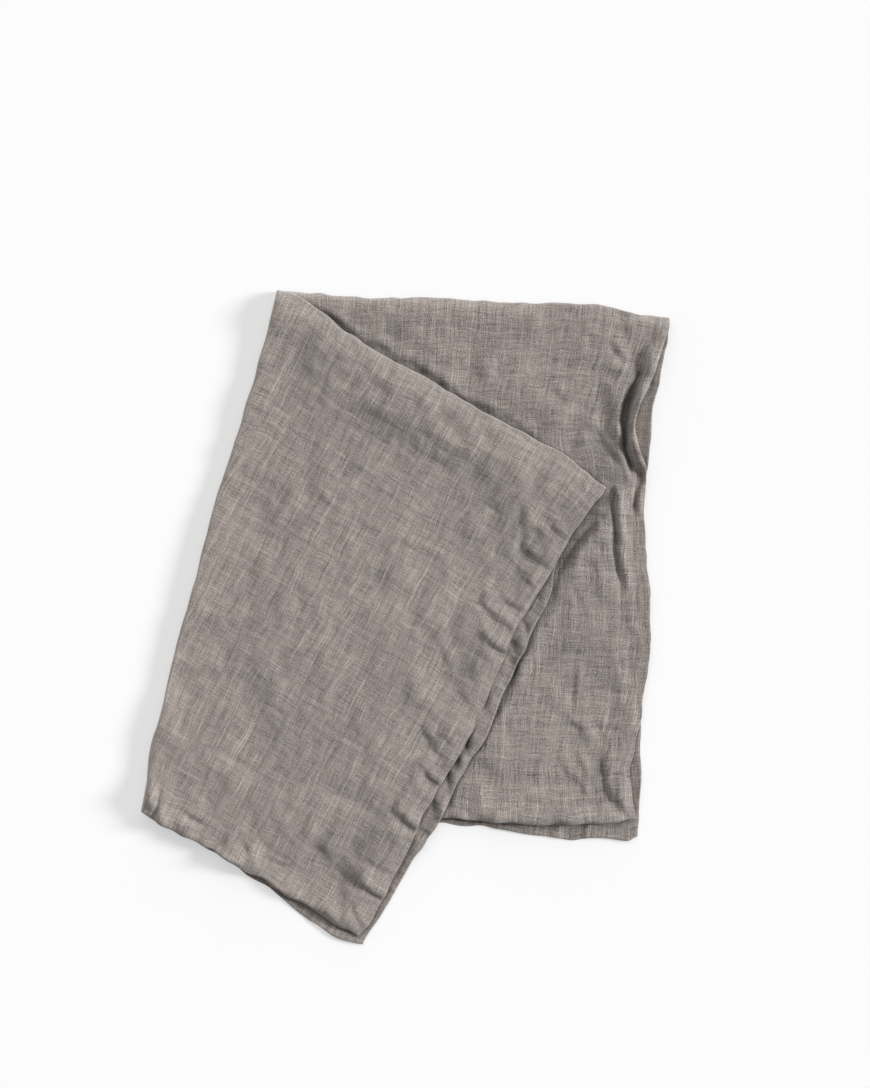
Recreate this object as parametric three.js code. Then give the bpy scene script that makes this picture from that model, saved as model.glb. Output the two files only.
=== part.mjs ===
// Linen tea towel, hemmed on its four sides and folded twice: in half, end to end, and then over
// again along a slanting line, so that its left side lies across the front. It lies on a table.
// The towel is one sheet. Its sheet coordinates run from the side hem of the rear panel round the
// slanting left fold to the side hem of the front panel, and from the end hem of the outer layer
// round the top fold to the end hem of the inner layer.
// Millimetres, +Z up. The origin is on the table, under the middle of the folded towel.
import * as THREE from "three";

const { clamp, lerp, smoothstep } = THREE.MathUtils;

// Cloth. The hem is turned onto the wrong side, which faces inwards in the top fold.
const CLOTH = 1.0;
const HEM_WIDTH = 18;
const HEM_STEP = 2;
const HEM_EXTRA = 0.3;
const AIR = 0.6;

// Heights between the middles of neighbouring layers: of a pair joined by the top fold, and of the
// two pairs.
const PAIR = CLOTH + 2 * HEM_EXTRA + AIR;
const STACK = CLOTH + AIR;

// How far each fold reaches past the line where it starts to turn.
const TOP_TURN = 1.3;
const LEFT_TURN = { outer: 3.4, inner: 1.5 };

// How far the cloth bulges beside each fold, and over what distance.
const TOP_BULGE = { high: 1.2, reach: 12 };
const DIAGONAL_BULGE = { high: 1.8, reach: 12 };
const LEFT_PUFF = { high: 1.8, reach: 22 };

// The front panel comes down to the table past the rear panel's end.
const DROP = { from: 3, to: 38 };

// Cells of the sheet: across the rear and front panels, down each layer, and round each fold. They
// are finer beside the side hems, as CROWDING goes above 1.
const CELLS = { rear: 14, front: 10, down: 24, leftTurn: 6, topTurn: 6 };
const CROWDING = 1.6;
const HEM_LINES = [0, 5, 10, HEM_WIDTH - HEM_STEP, HEM_WIDTH];
const END_HEM_LINES = [0, HEM_WIDTH - HEM_STEP, HEM_WIDTH];

// Corners. Both folds meet at the tip, and the left fold ends at the heel.
const TIP = new THREE.Vector2(-83, 212.5);
const HEEL = new THREE.Vector2(-171, -125);
const REAR_CORNER = new THREE.Vector2(171.5, 193.5);
const FRONT_CORNER = new THREE.Vector2(128.5, 85);

// An edge is a straight line between two corners that bows outwards by `out` at each share `at`.
const edge = (from, to, outwards, bows) => {
  const along = to.clone().sub(from);
  const normal = new THREE.Vector2(along.y, -along.x).normalize();
  normal.multiplyScalar(Math.sign(normal.dot(outwards)));
  return { from, to, normal, knots: [{ at: 0, out: 0 }, ...bows, { at: 1, out: 0 }] };
};

const UP = new THREE.Vector2(0, 1);
const DOWN = new THREE.Vector2(0, -1);
const RIGHT = new THREE.Vector2(1, 0);
const LEFT = new THREE.Vector2(-1, 0);

const LEFT_FOLD = edge(TIP, HEEL, LEFT, [
  { at: 0.1, out: -0.5 },
  { at: 0.3, out: 2 },
  { at: 0.4, out: 4.3 },
  { at: 0.57, out: 4.2 },
  { at: 0.68, out: 5.2 },
  { at: 0.82, out: 4 },
  { at: 0.88, out: 5 },
  { at: 0.94, out: 2 },
]);
const TOP_FOLD = edge(TIP, REAR_CORNER, UP, [
  { at: 0.09, out: -0.7 },
  { at: 0.3, out: 0.5 },
  { at: 0.38, out: 2.8 },
  { at: 0.5, out: 3.2 },
  { at: 0.66, out: 4.1 },
  { at: 0.78, out: 6.6 },
  { at: 0.84, out: 5.8 },
  { at: 0.91, out: 2.3 },
]);
const DIAGONAL_FOLD = edge(TIP, FRONT_CORNER, UP, [
  { at: 0.07, out: 3.4 },
  { at: 0.2, out: 0.4 },
  { at: 0.32, out: -1.5 },
  { at: 0.45, out: 0.8 },
  { at: 0.57, out: 0.4 },
  { at: 0.7, out: 2.6 },
  { at: 0.85, out: 4.3 },
  { at: 0.94, out: 2.3 },
]);

// The four panels, each with its own side and end hems.
const REAR_FOOT = new THREE.Vector2(151, -143);
const REAR_UPPER_FOOT = new THREE.Vector2(149, -131.5);
const FRONT_UNDER_FOOT = new THREE.Vector2(-28, -212.5);
const FRONT_TOP_FOOT = new THREE.Vector2(-31, -206.5);
const PANELS = {
  rearLower: {
    top: TOP_FOLD,
    side: edge(REAR_CORNER, REAR_FOOT, RIGHT, [
      { at: 0.1, out: -3.7 },
      { at: 0.17, out: -6.2 },
      { at: 0.33, out: -9.2 },
      { at: 0.43, out: -7.2 },
      { at: 0.56, out: -1.4 },
      { at: 0.63, out: -0.2 },
      { at: 0.73, out: -3.6 },
      { at: 0.88, out: -0.5 },
    ]),
    end: edge(HEEL, REAR_FOOT, DOWN, [
      { at: 0.5, out: -1 },
      { at: 0.62, out: -2.3 },
      { at: 0.73, out: -1 },
      { at: 0.85, out: 3.4 },
      { at: 0.94, out: 1.4 },
      { at: 0.98, out: 2.4 },
    ]),
  },
  rearUpper: {
    top: TOP_FOLD,
    side: edge(REAR_CORNER, REAR_UPPER_FOOT, RIGHT, [
      { at: 0.06, out: -3.4 },
      { at: 0.1, out: -7.4 },
      { at: 0.15, out: -13 },
      { at: 0.2, out: -19.2 },
      { at: 0.25, out: -16.7 },
      { at: 0.31, out: -8.2 },
      { at: 0.36, out: -8.2 },
      { at: 0.44, out: -6 },
      { at: 0.58, out: 0.2 },
      { at: 0.66, out: 1.5 },
      { at: 0.78, out: -1.1 },
      { at: 0.9, out: -5.2 },
      { at: 0.96, out: -2.2 },
    ]),
    end: edge(HEEL, REAR_UPPER_FOOT, DOWN, [
      { at: 0.3, out: -3 },
      { at: 0.6, out: 0.8 },
      { at: 0.75, out: 3.1 },
      { at: 0.86, out: 3.1 },
      { at: 0.95, out: 1.6 },
    ]),
  },
  frontUnder: {
    top: DIAGONAL_FOLD,
    side: edge(FRONT_CORNER, FRONT_UNDER_FOOT, RIGHT, [
      { at: 0.11, out: -4.6 },
      { at: 0.18, out: -3.4 },
      { at: 0.23, out: 1 },
      { at: 0.32, out: 2.2 },
      { at: 0.44, out: 4.9 },
      { at: 0.54, out: 7 },
      { at: 0.62, out: 4.9 },
      { at: 0.71, out: 6 },
      { at: 0.82, out: 2.6 },
      { at: 0.88, out: 2.8 },
    ]),
    end: edge(HEEL, FRONT_UNDER_FOOT, DOWN, [
      { at: 0.3, out: -1.5 },
      { at: 0.55, out: 0.2 },
      { at: 0.66, out: 1.1 },
      { at: 0.77, out: 3 },
      { at: 0.93, out: 3.9 },
    ]),
  },
  frontTop: {
    top: DIAGONAL_FOLD,
    side: edge(FRONT_CORNER, FRONT_TOP_FOOT, RIGHT, [
      { at: 0.1, out: -3.6 },
      { at: 0.2, out: -4 },
      { at: 0.31, out: -6 },
      { at: 0.42, out: -2.7 },
      { at: 0.54, out: 0.6 },
      { at: 0.74, out: -1.1 },
      { at: 0.85, out: 2.2 },
      { at: 0.95, out: 2.2 },
    ]),
    end: edge(HEEL, FRONT_TOP_FOOT, DOWN, [
      { at: 0.06, out: 0.4 },
      { at: 0.12, out: 1.4 },
      { at: 0.22, out: -0.8 },
      { at: 0.34, out: -0.7 },
      { at: 0.45, out: 0.6 },
      { at: 0.66, out: 0.8 },
      { at: 0.84, out: -1.6 },
      { at: 0.94, out: 0.2 },
    ]),
  },
};

// Soft ridges, and troughs where `high` is negative, along lines on the rear panel's upper layer.
// The first three are the side hem that stands up near the top, and the hollow and swell beside it.
const REAR_CREASES = [
  { high: 6.5, wide: 5, line: [[162, 160], [155, 146], [148, 132], [148, 118], [153, 102], [157, 93]] },
  { high: -2.4, wide: 4, line: [[155, 168], [150, 154], [140, 131], [140, 118], [143, 105], [148, 97]] },
  { high: 2.2, wide: 8, line: [[134, 172], [130, 128], [133, 103], [141, 87]] },
  { high: -1.5, wide: 3.5, line: [[122, 126], [130, 117], [135, 107]] },
  { high: -1.8, wide: 3, line: [[134, 81], [136, 62], [138, 42], [141, 24]] },
  { high: 1.9, wide: 6, line: [[145, 82], [147, 28]] },
  { high: 1.3, wide: 6, line: [[126, 74], [130, 38]] },
  { high: -1.1, wide: 4, line: [[104, -64], [115, -75]] },
  { high: -1.8, wide: 3, line: [[127, -95], [128, -106], [131, -118], [142, -122]] },
  { high: 1.5, wide: 5, line: [[136, -92], [138, -112]] },
];

// The same on the front panel's top layer: puckers of the side hem from its top to its foot, a
// hollow above the foot, and the pleat in the end hem by the heel.
const FRONT_CREASES = [
  { high: -1.3, wide: 3.5, line: [[75, 65], [76, 47], [94, 33]] },
  { high: 1.1, wide: 5, line: [[85, 56], [100, 46]] },
  { high: -1.2, wide: 3.5, line: [[52, 16], [57, 3], [69, -8]] },
  { high: 1.1, wide: 5, line: [[60, 12], [75, 0]] },
  { high: -1.2, wide: 3.5, line: [[50, -11], [65, -22]] },
  { high: 1, wide: 6, line: [[38, -38], [52, -50]] },
  { high: -1.4, wide: 3.5, line: [[10, -96], [22, -106]] },
  { high: -1.5, wide: 3.5, line: [[-5, -127], [14, -140]] },
  { high: 1, wide: 6, line: [[-8, -146], [4, -154]] },
  { high: -1.6, wide: 5, line: [[-55, -149], [-44, -156], [-34, -169]] },
  { high: -1.3, wide: 3.5, line: [[-28, -175], [-16, -180]] },
  { high: -1.4, wide: 3, line: [[-157, -113], [-162, -130]] },
];

// Height of the swell in each relief before its creases are added, and how softly it is kept from
// going below the layer under it.
const REAR_SWELL = 0.3;
const FRONT_SWELL = 0.5;
const SOFTNESS = 0.4;

// Cubic through the knots of an edge, at one share of its length.
function bowAt(knots, at) {
  const last = knots.length - 1;
  let k = 0;
  while (k < last - 1 && knots[k + 1].at < at) k += 1;
  const slope = (i) =>
    i === 0 || i === last
      ? 0
      : (knots[i + 1].out - knots[i - 1].out) / (knots[i + 1].at - knots[i - 1].at);
  const span = knots[k + 1].at - knots[k].at;
  const t = clamp((at - knots[k].at) / span, 0, 1);
  const [t2, t3] = [t * t, t * t * t];
  return (
    (2 * t3 - 3 * t2 + 1) * knots[k].out +
    (t3 - 2 * t2 + t) * span * slope(k) +
    (3 * t2 - 2 * t3) * knots[k + 1].out +
    (t3 - t2) * span * slope(k + 1)
  );
}

const edgePoint = (line, at) =>
  line.from.clone().lerp(line.to, at).addScaledVector(line.normal, bowAt(line.knots, at));

// A panel's point between its four edges, `across` from the left fold and `down` from the top fold.
function panelPoint(panel, across, down) {
  const left = edgePoint(LEFT_FOLD, down);
  const side = edgePoint(panel.side, down);
  const top = edgePoint(panel.top, across);
  const end = edgePoint(panel.end, across);
  const upper = TIP.clone().lerp(panel.top.to, across);
  const lower = HEEL.clone().lerp(panel.side.to, across);
  return left
    .lerp(side, across)
    .add(top.lerp(end, down))
    .sub(upper.lerp(lower, down));
}

// Distance of a point inside a straight edge; below 0 outside it.
const inside = (line, x, y) =>
  -(line.normal.x * (x - line.from.x) + line.normal.y * (y - line.from.y));

// A bulge that rises from nothing at a fold to its height at `reach` from it, and dies away.
function bulge({ high, reach }, distance) {
  const t = Math.max(distance, 0) / reach;
  return high * t * Math.exp(1 - t);
}

const bell = (distance, wide) => Math.exp(-((distance / wide) ** 2));

function distanceToLine(line, x, y) {
  let nearest = Infinity;
  for (let i = 0; i < line.length - 1; i += 1) {
    const [ax, ay] = line[i];
    const [bx, by] = [line[i + 1][0] - ax, line[i + 1][1] - ay];
    const t = clamp(((x - ax) * bx + (y - ay) * by) / (bx * bx + by * by), 0, 1);
    nearest = Math.min(nearest, Math.hypot(x - ax - t * bx, y - ay - t * by));
  }
  return nearest;
}

// Sum of the creases at a point, kept softly above 0.
function relief(creases, swell, x, y) {
  let height = swell;
  for (const { high, wide, line } of creases) height += high * bell(distanceToLine(line, x, y), wide);
  return (height + Math.hypot(height, SOFTNESS)) / 2;
}

// Heights of the middle of each layer over the table.
const HEIGHTS = {
  rearLower: () => CLOTH / 2,
  rearUpper: (x, y) =>
    HEIGHTS.rearLower() +
    PAIR +
    bulge(TOP_BULGE, inside(TOP_FOLD, x, y)) +
    relief(REAR_CREASES, REAR_SWELL, x, y),
  frontUnder: (x, y) => {
    const past = -inside(PANELS.rearLower.end, x, y);
    const resting = HEIGHTS.rearUpper(x, y) + STACK;
    const height = lerp(resting, CLOTH / 2, smoothstep(past, DROP.from, DROP.to));
    return height + LEFT_PUFF.high * bell(Math.max(inside(LEFT_FOLD, x, y), 0), LEFT_PUFF.reach);
  },
  frontTop: (x, y) =>
    HEIGHTS.frontUnder(x, y) +
    PAIR +
    bulge(DIAGONAL_BULGE, inside(DIAGONAL_FOLD, x, y)) +
    relief(FRONT_CREASES, FRONT_SWELL, x, y),
};

// Stations along one direction of the sheet, from one hem to the other. `turn` goes from -1 to 1
// round the fold. A station in a hem has its distance from the edge, and one between the hem and
// the fold its share of that way, counted from the fold.
function stations(hemLines, crowding, cellsBefore, cellsRound, cellsAfter) {
  const flat = (turn, cells) => [
    ...hemLines.map((hem) => ({ turn, hem })),
    ...Array.from({ length: cells - 1 }, (_, i) => ({
      turn,
      share: 1 - ((i + 1) / cells) ** crowding,
    })),
  ];
  const round = Array.from({ length: cellsRound + 1 }, (_, i) => ({
    turn: Math.sin(((i / cellsRound) * 2 - 1) * (Math.PI / 2)),
    share: 0,
  }));
  return [...flat(-1, cellsBefore), ...round, ...flat(1, cellsAfter).reverse()];
}

// Distance from a fold's outermost line to a station, on a panel `length` long.
function reachOf(station, length, outer, own) {
  if (station.hem !== undefined) return length - station.hem;
  if (station.share > 0) return lerp(outer, length - HEM_WIDTH, station.share);
  return outer - own * Math.sqrt(1 - station.turn ** 2);
}

const widthAt = (panel, down) =>
  lerp(TIP.distanceTo(panel.top.to), HEEL.distanceTo(panel.side.to), down);
const heightAt = (panel, across) =>
  lerp(TIP.distanceTo(HEEL), panel.top.to.distanceTo(panel.side.to), across);

// Middle of the cloth at a column and row of the sheet: the four panels mixed by how far the
// station has turned round each fold.
function sheetPoint(column, row) {
  const front = (1 + column.turn) / 2;
  const inner = (1 + row.turn) / 2;
  const shares = {
    rearLower: (1 - front) * (1 - inner),
    rearUpper: (1 - front) * inner,
    frontUnder: front * inner,
    frontTop: front * (1 - inner),
  };
  const leftTurn = lerp(LEFT_TURN.outer, LEFT_TURN.inner, inner);
  const used = Object.keys(shares).filter((name) => shares[name] > 0);
  const place = new THREE.Vector2();
  for (const name of used) {
    const panel = PANELS[name];
    const midHeight = heightAt(panel, 0.5);
    const down = reachOf(row, midHeight, TOP_TURN, TOP_TURN) / midHeight;
    const width = widthAt(panel, down);
    const across = reachOf(column, width, LEFT_TURN.outer, leftTurn) / width;
    place.addScaledVector(panelPoint(panel, across, down), shares[name]);
  }
  const z = used.reduce((sum, name) => sum + shares[name] * HEIGHTS[name](place.x, place.y), 0);
  return new THREE.Vector3(place.x, place.y, z);
}

const inHem = ({ hem }) => hem !== undefined && hem <= HEM_WIDTH - HEM_STEP;

// The closed solid of the sheet: its right side, its wrong side with the hems, and a rim.
function towelGeometry() {
  const columns = stations(HEM_LINES, CROWDING, CELLS.rear, CELLS.leftTurn, CELLS.front);
  const rows = stations(END_HEM_LINES, 1, CELLS.down, CELLS.topTurn, CELLS.down);
  const middle = columns.map((column) => rows.map((row) => sheetPoint(column, row)));
  const faces = { right: [], wrong: [] };
  columns.forEach((column, i) =>
    rows.forEach((row, j) => {
      const [before, after] = [Math.max(i - 1, 0), Math.min(i + 1, columns.length - 1)];
      const [under, over] = [Math.max(j - 1, 0), Math.min(j + 1, rows.length - 1)];
      const along = middle[after][j].clone().sub(middle[before][j]);
      const normal = along.cross(middle[i][over].clone().sub(middle[i][under])).normalize();
      const extra = inHem(column) || inHem(row) ? HEM_EXTRA : 0;
      faces.right.push(middle[i][j].clone().addScaledVector(normal, CLOTH / 2));
      faces.wrong.push(middle[i][j].clone().addScaledVector(normal, -CLOTH / 2 - extra));
    }),
  );
  const across = columns.length;
  const down = rows.length;
  const right = (i, j) => i * down + j;
  const wrong = (i, j) => across * down + right(i, j);
  const triangles = [];
  const quad = (a, b, c, d) => triangles.push(a, b, c, a, c, d);
  for (let i = 0; i < across - 1; i += 1) {
    for (let j = 0; j < down - 1; j += 1) {
      quad(right(i, j), right(i + 1, j), right(i + 1, j + 1), right(i, j + 1));
      quad(wrong(i, j), wrong(i, j + 1), wrong(i + 1, j + 1), wrong(i + 1, j));
    }
    quad(right(i + 1, 0), right(i, 0), wrong(i, 0), wrong(i + 1, 0));
    quad(right(i, down - 1), right(i + 1, down - 1), wrong(i + 1, down - 1), wrong(i, down - 1));
  }
  for (let j = 0; j < down - 1; j += 1) {
    quad(right(0, j), right(0, j + 1), wrong(0, j + 1), wrong(0, j));
    quad(right(across - 1, j + 1), right(across - 1, j), wrong(across - 1, j), wrong(across - 1, j + 1));
  }
  const points = [...faces.right, ...faces.wrong];
  return new THREE.BufferGeometry().setFromPoints(points).setIndex(triangles);
}

// Puts the origin under the middle of the folded towel.
function centred(geometry) {
  geometry.computeBoundingBox();
  const { min, max } = geometry.boundingBox;
  return geometry.translate(-(min.x + max.x) / 2, -(min.y + max.y) / 2, -min.z);
}

const linen = new THREE.MeshStandardMaterial({ color: 0x90887f, roughness: 0.95, metalness: 0 });
const towel = new THREE.Mesh(centred(towelGeometry()), linen);
towel.name = "towel";

const group = new THREE.Group();
group.add(towel);
export default group;
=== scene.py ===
"""Linen tea towel, hemmed and folded twice, lying on a pale table and seen from above.

The towel is one sheet. Its shape is worked out in millimetres, in plan coordinates x and y with y
along the towel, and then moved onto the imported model, in metres.
"""
import math

import bpy
import numpy as np
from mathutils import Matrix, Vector


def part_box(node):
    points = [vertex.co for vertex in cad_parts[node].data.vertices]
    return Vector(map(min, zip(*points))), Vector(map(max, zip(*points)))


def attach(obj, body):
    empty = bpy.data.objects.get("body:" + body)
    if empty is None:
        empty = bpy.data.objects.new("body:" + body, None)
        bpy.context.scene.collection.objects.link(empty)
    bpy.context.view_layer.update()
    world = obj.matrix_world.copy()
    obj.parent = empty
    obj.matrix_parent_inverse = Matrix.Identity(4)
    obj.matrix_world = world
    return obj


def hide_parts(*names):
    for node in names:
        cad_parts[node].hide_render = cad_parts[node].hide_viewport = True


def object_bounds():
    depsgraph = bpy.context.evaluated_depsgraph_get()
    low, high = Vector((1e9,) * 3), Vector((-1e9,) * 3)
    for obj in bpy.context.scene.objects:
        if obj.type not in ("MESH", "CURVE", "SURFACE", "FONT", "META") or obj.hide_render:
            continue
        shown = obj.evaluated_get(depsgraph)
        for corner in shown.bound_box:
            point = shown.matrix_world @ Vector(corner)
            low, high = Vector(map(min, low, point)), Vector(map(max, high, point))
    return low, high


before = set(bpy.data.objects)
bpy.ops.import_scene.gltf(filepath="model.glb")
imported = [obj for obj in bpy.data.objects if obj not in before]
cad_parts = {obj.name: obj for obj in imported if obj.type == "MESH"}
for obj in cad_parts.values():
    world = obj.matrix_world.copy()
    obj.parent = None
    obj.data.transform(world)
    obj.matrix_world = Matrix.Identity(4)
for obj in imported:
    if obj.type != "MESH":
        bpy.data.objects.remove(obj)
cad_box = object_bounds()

MM = 0.001

# The cloth's thickness, and the width of a rear and a front panel side by side.
CLOTH = 0.7
SHEET_WIDTH = 493

# The hem is turned twice onto the wrong side, which faces inwards in the top fold. It is thicker by
# HEM_RISE on the right side and HEM_EXTRA on the wrong one, and steps to that over HEM_STEP either
# way. At its edge the cloth is rounded over RIM, down to the share RIM_THIN of its thickness.
HEM_WIDTH = 18
HEM_EXTRA = 0.35
HEM_RISE = 0.25
HEM_STEP = 1
RIM = 1.2
RIM_THIN = 0.45

# Heights between the middles of neighbouring layers: of a pair joined by the top fold, and of the
# two pairs.
PAIR = 1.6
STACK = 2.2

# How far each fold reaches past the line where it starts to turn.
TOP_TURN = 1.3
LEFT_TURN_OUTER = 1.7
LEFT_TURN_INNER = 1.0

# Length of cloth that runs round each fold, for the weave.
TOP_ARC = 4
LEFT_ARC_OUTER = 11
LEFT_ARC_INNER = 6

# How far the cloth bulges beside each fold, and over what distance.
TOP_BULGE = dict(high=2.4, reach=7.5)
DIAGONAL_BULGE = dict(high=2.4, reach=17)
LEFT_PUFF = dict(high=1.8, reach=22)

# The front panel comes down to the table past the rear panel's end.
DROP = dict(start=3, end=38)

# How steeply an edge's bow fades into its panel, as a power.
FADE = 4

# Cells of the sheet, and how they crowd towards the hems where the power is above 1. Where nothing
# shows, BLOCK by BLOCK cells are one face. The lower layers show only in a STRIP along their hems,
# and the upper rear one up to COVER inside the front panel. A large face of the wrong side stays
# CLEARANCE below the right side.
CELLS = dict(rear=196, front=138, down=238, left_turn=10, top_turn=10)
CROWDING = dict(rear=1.25, front=1.25, down=1.02)
BLOCK = 4
STRIP = 12
COVER = 5
CLEARANCE = 0.1

# Corners. Both folds meet at the tip, and the left fold ends at the heel.
TIP = np.array([-83, 212.5])
HEEL = np.array([-171, -125])
REAR_CORNER = np.array([171.5, 193.5])
FRONT_CORNER = np.array([128.5, 85])
REAR_FOOT = np.array([151, -143])
REAR_UPPER_FOOT = np.array([149, -131.5])
FRONT_UNDER_FOOT = np.array([-28, -212.5])
FRONT_TOP_FOOT = np.array([-31, -206.5])

UP, DOWN, RIGHT, LEFT = (0, 1), (0, -1), (1, 0), (-1, 0)


def edge(start, end, outwards, *bows):
    """A straight line between two corners that bows outwards by `out` at each share `at`."""
    along = end - start
    normal = np.array([along[1], -along[0]]) / np.hypot(*along)
    normal *= np.sign(normal @ np.array(outwards))
    at, out = np.array([(0, 0), *bows, (1, 0)]).T
    return dict(start=start, end=end, normal=normal, at=at, out=out)


LEFT_FOLD = edge(
    TIP, HEEL, LEFT,
    (0.1, -0.5), (0.3, 2), (0.4, 4.3), (0.57, 4.2), (0.68, 5.2), (0.82, 4), (0.88, 5), (0.94, 2),
)
TOP_FOLD = edge(
    TIP, REAR_CORNER, UP,
    (0.09, -0.7), (0.3, 0.5), (0.38, 2.8), (0.5, 3.2), (0.66, 4.1), (0.78, 6.6), (0.84, 5.8),
    (0.91, 2.3),
)
DIAGONAL_FOLD = edge(
    TIP, FRONT_CORNER, UP,
    (0.07, 3.4), (0.2, 0.4), (0.32, -1.5), (0.45, 0.8), (0.57, 0.4), (0.7, 2.6), (0.85, 4.3),
    (0.94, 2.3),
)
PANELS = dict(
    rear_lower=dict(
        top=TOP_FOLD,
        side=edge(
            REAR_CORNER, REAR_FOOT, RIGHT,
            (0.1, -3.7), (0.17, -6.2), (0.33, -9.2), (0.43, -7.2), (0.56, -1.4), (0.63, -0.2),
            (0.73, -3.6), (0.88, -0.5),
        ),
        end=edge(
            HEEL, REAR_FOOT, DOWN,
            (0.5, -1), (0.62, -2.3), (0.73, -1), (0.85, 3.4), (0.94, 1.4), (0.98, 2.4),
        ),
    ),
    rear_upper=dict(
        top=TOP_FOLD,
        side=edge(
            REAR_CORNER, REAR_UPPER_FOOT, RIGHT,
            (0.06, -3.4), (0.1, -7.4), (0.15, -13), (0.2, -19.2), (0.25, -16.7), (0.31, -8.2),
            (0.36, -8.2), (0.44, -6), (0.58, 0.2), (0.66, 1.5), (0.78, -1.1), (0.9, -5.2),
            (0.96, -2.2),
        ),
        end=edge(
            HEEL, REAR_UPPER_FOOT, DOWN,
            (0.3, -3), (0.6, 0.8), (0.75, 3.1), (0.86, 3.1), (0.95, 1.6),
        ),
    ),
    front_under=dict(
        top=DIAGONAL_FOLD,
        side=edge(
            FRONT_CORNER, FRONT_UNDER_FOOT, RIGHT,
            (0.11, -4.6), (0.18, -3.4), (0.23, 1), (0.32, 2.2), (0.44, 4.9), (0.54, 7),
            (0.62, 4.9), (0.71, 6), (0.82, 2.6), (0.88, 2.8),
        ),
        end=edge(
            HEEL, FRONT_UNDER_FOOT, DOWN,
            (0.3, -1.5), (0.55, 0.2), (0.66, 1.4), (0.77, 3.6), (0.85, 4.3), (0.93, 4.1), (0.98, 1.5),
        ),
    ),
    front_top=dict(
        top=DIAGONAL_FOLD,
        side=edge(
            FRONT_CORNER, FRONT_TOP_FOOT, RIGHT,
            (0.1, -3.6), (0.2, -4), (0.31, -6), (0.42, -2.7), (0.54, 0.6), (0.74, -1.1),
            (0.85, 2.2), (0.95, 2.2),
        ),
        end=edge(
            HEEL, FRONT_TOP_FOOT, DOWN,
            (0.06, 0.4), (0.12, 1.4), (0.22, -0.8), (0.34, -0.7), (0.39, -1.2), (0.48, 0),
            (0.55, -0.9), (0.62, -0.7), (0.69, 0.3), (0.79, -1.4), (0.85, -0.3), (0.9, 0.6), (0.96, 0.1),
        ),
    ),
)


def crease(high, wide, *line):
    """A soft ridge along a line of plan points, or a trough where `high` is negative."""
    return dict(high=high, wide=wide, steep=None, face=None, line=line)


def pucker(high, steep, wide, *line):
    """A sharp step along a line of plan points, up to the left of it, easing off over `wide`."""
    return dict(high=high, wide=wide, steep=steep, face=None, line=line)


def lip(high, face, wide, *line):
    """A standing edge along a line of plan points: down within `face` on its right, easy on its left."""
    return dict(high=high, wide=wide, steep=None, face=face, line=line)


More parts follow.
